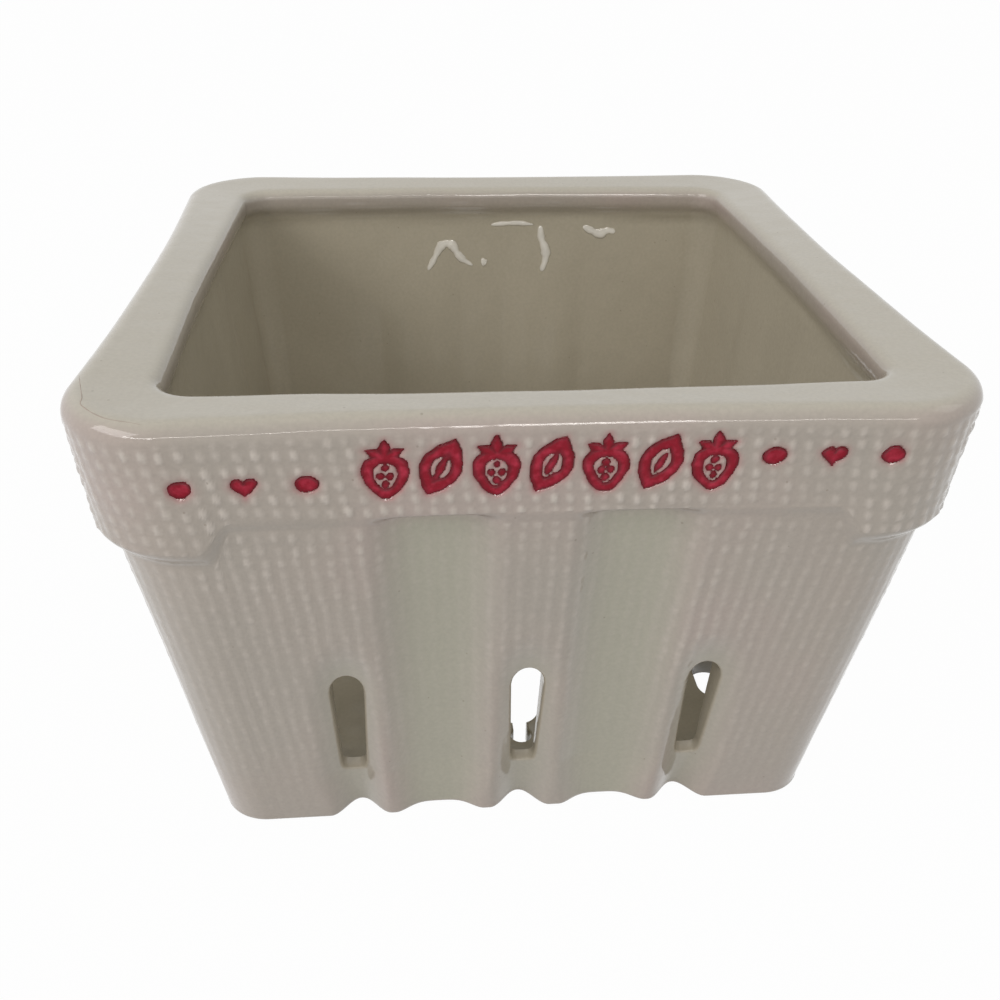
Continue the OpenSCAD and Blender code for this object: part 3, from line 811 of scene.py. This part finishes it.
topHoles, topIds, lowHoles, lowIds = [], [], [], []
for outline, x, y, along in drainSlots:
    last = None
    upper = [(q, floorZ, size["drainEdge"]) for q in (0, 30, 60, 90)]
    lower = [(q, size["footHollow"], size["drainLowEdge"]) for q in (90, 0)]
    for q, z, edge in upper + lower:
        s, c = math.sin(math.radians(q)), math.cos(math.radians(q))
        loop = np.stack(turned(*outline(edge * (1 - s)).T, along), -1) + (x, y)
        height = z - edge * (1 - c) if z == floorZ else z + edge * (1 - c)
        ids = addPoints(np.column_stack([loop, np.full(len(loop), height)]), insideTone["drain"])
        if last:
            bridge(last, ids)
        else:
            topHoles.append(loop)
            topIds.append(ids)
        last = ids
    lowHoles.append(loop)
    lowIds.append(last)
floorLoop = rows[-1][:, :2]
flatFace(floorLoop, topHoles, [(len(rows) - 1) * count + c for c in range(count)], topIds)
hollow, soft, last = size["hollowWidth"] / 2, size["hollowRound"], None
for grow, z in ((soft, 0.0), (0.3 * soft, 0.3 * soft), (0.0, soft), (0.0, size["footHollow"])):
    loop = roundedSquare(hollow + grow, size["hollowRadius"] + grow)
    ids = addPoints(np.column_stack([loop, np.full(len(loop), z)]), insideTone["hollow"])
    if last:
        bridge(last, ids)
    else:
        flatFace(rows[0][:, :2], [loop], list(range(count)), [ids])
    last = ids
flatFace(loop, lowHoles, last, lowIds)

points = np.concatenate([points, np.array(extra)])
values = {key: np.concatenate(kept + [extraInside if key == "insideShare" else np.zeros(len(extra))])
          for key, kept in shares.items()}
used, faces = onlyUsed(len(points), faces)
body = meshObject("stonewareBasket", points[used], faces, {k: v[used] for k, v in values.items()})
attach(body, "root")
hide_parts("basket_body")
print("basket built", len(faces), "faces")


# Raised runs of glaze on the inside of the back wall, their pale crests a painted highlight, and a hairline
# crack on the rim's left corner

runs = {"steps": 8, "around": 12, "sunk": 0.15, "wide": 2.3, "threadWide": 1.3, "high": 0.18,
        "crackWide": 0.2, "crackHigh": 0.03, "tip": 0.35, "fullness": 0.4, "crestPower": 1.6,
        "strays": ((0.16, 0.45), (0.07, 1.1)), "seekFromInside": 20.0, "seekFromAbove": 95.0}
surface = BVHTree.FromPolygons([tuple(p) for p in points[used] * mm], faces)


def seat(u, v, onWall):
    # onWall takes u as x and v as z on the back wall, else they are x and y on the rim
    start, way = (u, v, runs["seekFromAbove"]), (0, 0, -1)
    if onWall:
        start, way = (u, runs["seekFromInside"], v), (0, 1, 0)
    hit, normal = surface.ray_cast(Vector(start) * mm, Vector(way))[:2]
    normal = normal if normal.dot(Vector(way)) < 0 else -normal
    return np.array(hit) / mm, np.array(normal)


def thinRun(name, route, onWall, wide, high):
    # a low rounded bead along a smooth line through the route, seated on the body all round
    route = np.array(route)
    knots = np.concatenate([[2 * route[0] - route[1]], route, [2 * route[-1] - route[-2]]])
    line = []
    for i in range(1, len(knots) - 2):
        a, b, c, d = knots[i - 1:i + 3]
        for s in np.linspace(0, 1, runs["steps"], endpoint=False):
            line.append(b + 0.5 * s * (c - a + s * (2 * a - 5 * b + 4 * c - d + s * (3 * (b - c) + d - a))))
    line = np.array(line + [route[-1]])
    along = np.gradient(line, axis=0)
    along /= np.linalg.norm(along, axis=1)[:, None]
    n, found, made, crest = runs["around"], [], [], []
    for i, (spot, way) in enumerate(zip(line, along)):
        swell = math.sin(math.pi * (i + runs["tip"]) / (len(line) - 1 + 2 * runs["tip"])) ** runs["fullness"]
        swell *= 1 + sum(share * math.sin(i * pace) for share, pace in runs["strays"])
        for j in range(n):
            q = 2 * math.pi * j / n
            off = wide / 2 * swell * math.cos(q)
            at, normal = seat(spot[0] - way[1] * off, spot[1] + way[0] * off, onWall)
            lift = math.sin(q) * (high * swell if q < math.pi else runs["sunk"])
            made.append(at + normal * lift)
            # the crest share is where a run's painted highlight lies and where a crack's line is darkest
            crest.append(max(0.0, math.sin(q)) ** runs["crestPower"])
            if i:
                k = (j + 1) % n
                found.append(((i - 1) * n + j, (i - 1) * n + k, i * n + k, i * n + j))
    last = (len(line) - 1) * n
    found += [tuple(range(n)), tuple(range(last, last + n))]
    piece = meshObject(name, made, found, {"crestShare": crest})
    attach(piece, "root")
    return piece


wallRuns = {
    "glazeRunPaintedHighlightLeft": [(-13.8, 69), (-12.3, 71.5), (-10.7, 74.5), (-9.2, 75.5), (-7.5, 75), (-6.3, 73),
                     (-4.8, 71.4), (-2.5, 70)],
    "glazeRunPaintedHighlightDrop": [(-0.3, 70.5), (0.4, 70.7), (1.0, 70.5)],
    "glazeRunPaintedHighlightMiddle": [(14.5, 79.7), (14.8, 76.7), (15.9, 73.7), (15.9, 71.2), (15, 68.4)],
    "glazeRunPaintedHighlightThread": [(2.2, 80), (5.5, 80.3), (9, 80.4), (12.7, 80)],
    "glazeRunPaintedHighlightRight": [(25.3, 79.5), (27.4, 78.5), (29.5, 77.7), (31.5, 78.4), (33.5, 78.1)],
}
crack = [(-68, -51), (-66.5, -56), (-65.5, -59.3), (-65.2, -61.3), (-64, -63), (-62.9, -64.2),
         (-61, -65.8), (-59, -66.8), (-57.3, -67.4), (-55.6, -68)]
runPieces = [thinRun(name, route, True, runs["threadWide" if "Thread" in name else "wide"], runs["high"])
             for name, route in wallRuns.items()]
crackPiece = thinRun("rimHairlineCrack", crack, False, runs["crackWide"], runs["crackHigh"])
print("glaze runs and crack laid")


# Red glaze pooled in the pressed marks

pool = {"step": 0.16, "reach": 0.2, "under": 0.06, "climb": 0.18, "climbFrom": (-0.55, 0.15),
        "ripple": 0.03, "rippleLength": 2.2, "rippleSeed": 21, "deepFrom": (-0.6, 0.1),
        "spare": 1.0, "smallField": (2.6, 2.4)}


def bandFrame(x, z):
    # where the band's face is at x and z, turned with its bow and its lean
    straight = rimHalf - size["rimRadius"]
    turn = math.atan(2 * size["rimBow"] * x / straight ** 2)
    out = bandFootHalf + (z - edgeZ - size["bandRound"]) * math.tan(leanAngle)
    out -= size["rimBow"] * (1 - (x / straight) ** 2)
    facing = Matrix.Rotation(-turn, 4, "Z") @ Matrix.Rotation(math.pi / 2 + leanAngle, 4, "X")
    return Matrix.Translation((x, -out, z)) @ facing


def pooledGlaze(name, shape, x, z):
    w, h = pool["smallField"]
    if shape in (berryDistance, leafDistance):
        w, h = marks["width"] / 2 + pool["spare"], marks["height"] / 2 + pool["spare"]
    us, vs = np.arange(-w, w, pool["step"]), np.arange(-h, h, pool["step"])
    u, v = np.meshgrid(us, vs, indexing="ij")
    d = shape(u, v) + handFilled(u + x, v + z)
    ripple = waves(np.stack([u + x, v + z, 0 * u], -1), pool["rippleLength"], pool["rippleSeed"])
    level = pool["climb"] * smoothStep(*pool["climbFrom"], d) + pool["ripple"] * ripple
    level -= marks["sink"] + pool["under"]
    inside = d < pool["reach"]
    cell = inside[:-1, :-1] & inside[1:, :-1] & inside[1:, 1:] & inside[:-1, 1:]
    grid = np.arange(u.size).reshape(u.shape)
    n, found = u.size, []
    for i, j in zip(*np.nonzero(cell)):
        a, b, c, e = (int(grid[p]) for p in ((i, j), (i + 1, j), (i + 1, j + 1), (i, j + 1)))
        found += [(a, b, c, e), (e + n, c + n, b + n, a + n)]
        for (p, q), (di, dj) in (((a, b), (0, -1)), ((b, c), (1, 0)), ((c, e), (0, 1)), ((e, a), (-1, 0))):
            if not cell[i + di, j + dj]:
                found.append((q, p, p + n, q + n))
    flat = np.column_stack([u.ravel(), v.ravel()])
    heights = (level.ravel(), np.full(n, -marks["bottom"]))
    both = np.concatenate([np.column_stack([flat, height]) for height in heights])
    seated = np.array(bandFrame(x, z))
    both = both @ seated[:3, :3].T + seated[:3, 3]
    nearness = smoothStep(*pool["deepFrom"], np.concatenate([d.ravel(), d.ravel()]))
    kept, found = onlyUsed(2 * n, found)
    piece = meshObject("pooled_" + name, both[kept], found, {"rimNearness": nearness[kept]})
    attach(piece, "root")
    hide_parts(name)
    return piece


glazePieces = [pooledGlaze(*mark) for mark in markList]
print("marks filled", len(glazePieces))


# Materials

clearIor = 1.5
noiseLow, noiseHigh = 0.3, 0.7  # nearly all of a noise texture lies between these

# top is the rim's top, painted paler as painted light from above and a little greener; bead is painted paler
# on the beads, partly the glaze thinning over them and partly a painted highlight
stoneware = {"tone": "#b2a9a0", "warm": "#b6a9a2", "cool": "#b0a9a0", "top": "#c2bdaf", "pool": "#b3b1a2",
             "bead": "#cbc3bb", "inside": "#b4ad9b", "speck": "#8a8072", "stain": "#b24a58",
             "patch": 34.0, "patchEnds": (0.32, 0.68), "speckGap": 3.4, "speckShare": 0.06, "speckRare": 0.6,
             "speckFaint": 0.4, "cloud": 1.5, "soak": 1.3, "grain": 0.7, "grainEnds": (0.96, 1.04),
             "peel": 1.6, "peelDeep": 0.4, "peelStrength": 0.05,
             "swell": 6.0, "swellDeep": 0.6, "swellStrength": 0.24,
             "roughLow": 0.04, "roughHigh": 0.1, "insideRough": 0.13}


def glazedStoneware(look):
    # slip-cast stoneware under a clear glossy glaze: pinkish cream grey; paler on the beads, partly where the
    # glaze thins over them and partly as a painted highlight;
    # on the rim's top paler and a little greener, the paleness painted light from above; greener where it
    # pools in the flutes, with faint iron specks and a skin that makes highlights waver
    material, tree, shader = newMaterial("glazedStoneware")
    spot = addNode(tree, "TexCoord").outputs["Object"]
    # the grain is drawn coarse enough to show
    noise = {}
    for key, detail in (("patch", 2.0), ("cloud", 3.0), ("grain", 3.0), ("peel", 2.0), ("swell", 1.0)):
        settings = {"Scale": perMetre(look[key]), "Detail": detail}
        texture = addNode(tree, "TexNoise", settings, {"Vector": spot})
        noise[key] = texture.outputs["Fac"]
    given = {key: addNode(tree, "Attribute", {"attribute_name": key}).outputs["Fac"] for key in shares}
    tint = addNode(tree, "ValToRGB", links={"Fac": noise["patch"]})
    ends = tint.color_ramp.elements
    ends[0].position, ends[1].position = look["patchEnds"]
    ends[0].color, ends[1].color = hexToLinear(look["warm"]), hexToLinear(look["cool"])
    ends.new(0.5).color = hexToLinear(look["tone"])
    colour = tint.outputs["Color"]
    # iron specks: a few cells of a scatter, small and faint
    cells = addNode(tree, "TexVoronoi", {"Scale": perMetre(look["speckGap"])}, {"Vector": spot})
    near = addNode(tree, "Math", {"operation": "LESS_THAN", 1: look["speckShare"]},
                   {0: cells.outputs["Distance"]})
    some = addNode(tree, "SeparateColor", links={0: cells.outputs["Color"]})
    rare = addNode(tree, "Math", {"operation": "GREATER_THAN", 1: look["speckRare"]}, {0: some.outputs[0]})
    speck = addNode(tree, "Math", {"operation": "MULTIPLY"}, {0: near.outputs[0], 1: rare.outputs[0]})
    faint = addNode(tree, "Math", {"operation": "MULTIPLY", 1: look["speckFaint"]}, {0: speck.outputs[0]})
    # the red soaks unevenly into the glaze beside the marks
    soak = addNode(tree, "Math", {"operation": "MULTIPLY"}, {0: given["redBleed"], 1: noise["cloud"]})
    soaked = addNode(tree, "Math", {"operation": "MULTIPLY", 1: look["soak"], "use_clamp": True},
                     {0: soak.outputs[0]})
    # over the tint go the pooled glaze, the rim's top painted paler as light from above, the inside, the
    # beads painted paler partly as a highlight, the specks and the red stain
    for share, tone in ((given["poolShare"], "pool"), (given["topShare"], "top"),
                        (given["insideShare"], "inside"), (given["beadShare"], "bead"),
                        (faint.outputs[0], "speck"), (soaked.outputs[0], "stain")):
        mixed = addNode(tree, "Mix", {"data_type": "RGBA", 7: hexToLinear(look[tone])}, {0: share, 6: colour})
        colour = mixed.outputs[2]
    darkest, palest = look["grainEnds"]
    level = addNode(tree, "MapRange",
                    {"From Min": noiseLow, "From Max": noiseHigh, "To Min": darkest, "To Max": palest},
                    {"Value": noise["grain"]})
    grained = addNode(tree, "VectorMath", {"operation": "SCALE"}, {0: colour, "Scale": level.outputs[0]})
    tree.links.new(grained.outputs[0], shader.inputs["Base Color"])
    # inside, the glaze lies thinner and mirrors less
    dull = addNode(tree, "MapRange", {"To Min": look["roughLow"], "To Max": look["roughHigh"]},
                   {"Value": noise["patch"]})
    duller = addNode(tree, "Math", {"operation": "MULTIPLY_ADD", 1: look["insideRough"]},
                     {0: given["insideShare"], 2: dull.outputs[0]})
    tree.links.new(duller.outputs[0], shader.inputs["Roughness"])
    # orange peel and, wider, the slow swell of the glaze
    links = {}
    for key in ("peel", "swell"):
        settings = {"Strength": look[key + "Strength"], "Distance": look[key + "Deep"] * mm}
        bump = addNode(tree, "Bump", settings, {"Height": noise[key], **links})
        links = {"Normal": bump.outputs[0]}
    tree.links.new(bump.outputs[0], shader.inputs["Normal"])
    shader.inputs["IOR"].default_value = clearIor
    return material


redGlaze = {"deep": "#56040f", "main": "#960a26", "thin": "#bc3049", "cloud": 1.5, "cloudEnds": (0.42, 0.7),
            "deepShare": 0.7, "rough": 0.12, "mirror": 0.18}


def redUnderglaze(look):
    # crimson underglaze flooded into pressed lines and fired glossy: dark where it pools against the edges,
    # pinker where it lies thin
    material, tree, shader = newMaterial("redUnderglaze")
    spot = addNode(tree, "TexCoord").outputs["Object"]
    cloud = addNode(tree, "TexNoise", {"Scale": perMetre(look["cloud"]), "Detail": 3.0}, {"Vector": spot})
    ramp = addNode(tree, "ValToRGB", links={"Fac": cloud.outputs["Fac"]})
    ends = ramp.color_ramp.elements
    ends[0].position, ends[1].position = look["cloudEnds"]
    ends[0].color, ends[1].color = hexToLinear(look["main"]), hexToLinear(look["thin"])
    near = addNode(tree, "Attribute", {"attribute_name": "rimNearness"})
    share = addNode(tree, "Math", {"operation": "MULTIPLY", 1: look["deepShare"]}, {0: near.outputs["Fac"]})
    mixed = addNode(tree, "Mix", {"data_type": "RGBA", 7: hexToLinear(look["deep"])},
                    {0: share.outputs[0], 6: ramp.outputs["Color"]})
    tree.links.new(mixed.outputs[2], shader.inputs["Base Color"])
    shader.inputs["Roughness"].default_value = look["rough"]
    shader.inputs["IOR"].default_value = clearIor
    shader.inputs["Specular IOR Level"].default_value = look["mirror"]
    return material


# run is the pale crest of the glaze runs, a painted highlight; runEdge is the inside wall's tone that it
# fades into; the crack's colours are dirt in the crazed glaze
thinGlaze = {"run": "#e9e6dd", "runEdge": "#b7b09e", "runRough": 0.06, "runGrain": 3.0,
             "crack": "#ad9f92", "crackEdge": "#bdb4a9", "crackRough": 0.5, "crackGrain": 2.0,
             "driftEnds": (0.8, 1.15)}


def plainFinish(name, kind):
    # a thin run or a crack: it fades into the glaze beside it, and its colour drifts a little; a run's pale
    # crest is a painted highlight, a crack's darker line is dirt in the crazing
    tone, edgeTone = hexToLinear(thinGlaze[kind]), hexToLinear(thinGlaze[kind + "Edge"])
    least, most = thinGlaze["driftEnds"]
    material, tree, shader = newMaterial(name)
    spot = addNode(tree, "TexCoord").outputs["Object"]
    drift = addNode(tree, "TexNoise", {"Scale": perMetre(thinGlaze[kind + "Grain"]), "Detail": 2.0},
                    {"Vector": spot})
    share = addNode(tree, "MapRange", {"To Min": least, "To Max": most}, {"Value": drift.outputs["Fac"]})
    crest = addNode(tree, "Attribute", {"attribute_name": "crestShare"})
    faded = addNode(tree, "Mix", {"data_type": "RGBA", 6: edgeTone, 7: tone}, {0: crest.outputs["Fac"]})
    tinted = addNode(tree, "VectorMath", {"operation": "SCALE"},
                     {0: faded.outputs[2], "Scale": share.outputs[0]})
    tree.links.new(tinted.outputs[0], shader.inputs["Base Color"])
    shader.inputs["Roughness"].default_value = thinGlaze[kind + "Rough"]
    return material


body.data.materials.append(glazedStoneware(stoneware))
# thick clear glaze, glossier than the wall that it ran down; its pale crest is a painted highlight
paleRunPaintedHighlight = plainFinish("paleGlazeRunPaintedHighlight", "run")
for piece in runPieces:
    piece.data.materials.append(paleRunPaintedHighlight)
# a fine brown line where the glaze has crazed and taken up dirt
crackPiece.data.materials.append(plainFinish("crazedGlaze", "crack"))
red = redUnderglaze(redGlaze)
for piece in glazePieces:
    piece.data.materials.append(red)
print("materials set")


# Floor, backdrop and lights

# reach in metres, and how far the paper lies under the foot in millimetres
studio = {"reach": 4.0, "under": 0.02, "paper": "#c0c0be", "paperRough": 0.9, "paperSeen": 0.98,
          "air": "#fffdf9", "airStrength": 0.43, "airSeen": 1.0}


def seenShare(tree, strength):
    # the share of plain white that the camera and reflections get to see, and that lights nothing else
    rays = addNode(tree, "LightPath")
    seen = rays.outputs["Is Camera Ray"]
    for kind in ("Is Glossy Ray", "Is Transmission Ray"):
        either = addNode(tree, "Math", {"operation": "MAXIMUM"}, {0: seen, 1: rays.outputs[kind]})
        seen = either.outputs[0]
    return addNode(tree, "Math", {"operation": "MULTIPLY", 1: strength}, {0: seen}).outputs[0]


def addFloor(setup):
    reach = setup["reach"] / mm
    corners = [(sx * reach, sy * reach, -setup["under"]) for sx, sy in ((-1, -1), (1, -1), (1, 1), (-1, 1))]
    floor = meshObject("paperSweep", corners, [(0, 1, 2, 3)])
    material, tree, shader = newMaterial("paperSweep")
    shader.inputs["Base Color"].default_value = hexToLinear(setup["paper"])
    shader.inputs["Roughness"].default_value = setup["paperRough"]
    glow = addNode(tree, "Emission", {"Color": (1, 1, 1, 1), "Strength": 1.0})
    mixed = addNode(tree, "MixShader",
                    links={0: seenShare(tree, setup["paperSeen"]), 1: shader.outputs[0], 2: glow.outputs[0]})
    tree.links.new(mixed.outputs[0], tree.nodes["Material Output"].inputs["Surface"])
    floor.data.materials.append(material)


def addWorld(setup):
    world = bpy.data.worlds.new("studioAir")
    world.use_nodes = True
    tree = world.node_tree
    air = tree.nodes["Background"]
    air.inputs["Color"].default_value = hexToLinear(setup["air"])
    air.inputs["Strength"].default_value = setup["airStrength"]
    white = addNode(tree, "Background", {"Color": (1, 1, 1, 1), "Strength": 1.0})
    mixed = addNode(tree, "MixShader",
                    links={0: seenShare(tree, setup["airSeen"]), 1: air.outputs[0], 2: white.outputs[0]})
    tree.links.new(mixed.outputs[0], tree.nodes["World Output"].inputs["Surface"])
    bpy.context.scene.world = world


# each lamp's place, width and height in metres, and its radiance; all face the middle of the basket
lamps = {
    "leftStrip": {"place": (-0.64, -1.0, 0.62), "wide": 0.62, "tall": 0.035, "glow": 17.0, "tone": "#fffdfa"},
    "rightFill": {"place": (0.9, -0.1, 0.8), "wide": 0.5, "tall": 0.5, "glow": 0.7, "tone": "#fffdf8"},
    "frontStrip": {"place": (0.05, -1.0, 0.62), "wide": 0.95, "tall": 0.035, "glow": 12.0, "tone": "#fffaf4"},
    "frontBox": {"place": (0.155, -1.0, 0.6), "wide": 0.2, "tall": 0.2, "glow": 7.5, "tone": "#fffbf8"},
    "leftKey": {"place": (-0.9, -0.45, 0.72), "wide": 0.8, "tall": 0.5, "glow": 3.5, "tone": "#fffafa"},
}
lampsFace = Vector((0, 0, 0.05))


def addLamp(name, setup):
    data = bpy.data.lights.new(name, "AREA")
    data.shape, data.size, data.size_y = "RECTANGLE", setup["wide"], setup["tall"]
    data.energy = setup["glow"] * math.pi * setup["wide"] * setup["tall"]
    data.color = hexToLinear(setup["tone"])[:3]
    lamp = bpy.data.objects.new(name, data)
    lamp.location = setup["place"]
    lamp.rotation_euler = (lampsFace - lamp.location).to_track_quat("-Z", "Y").to_euler()
    bpy.context.scene.collection.objects.link(lamp)


addFloor(studio)
addWorld(studio)
for name, setup in lamps.items():
    addLamp(name, setup)
print("studio lit")
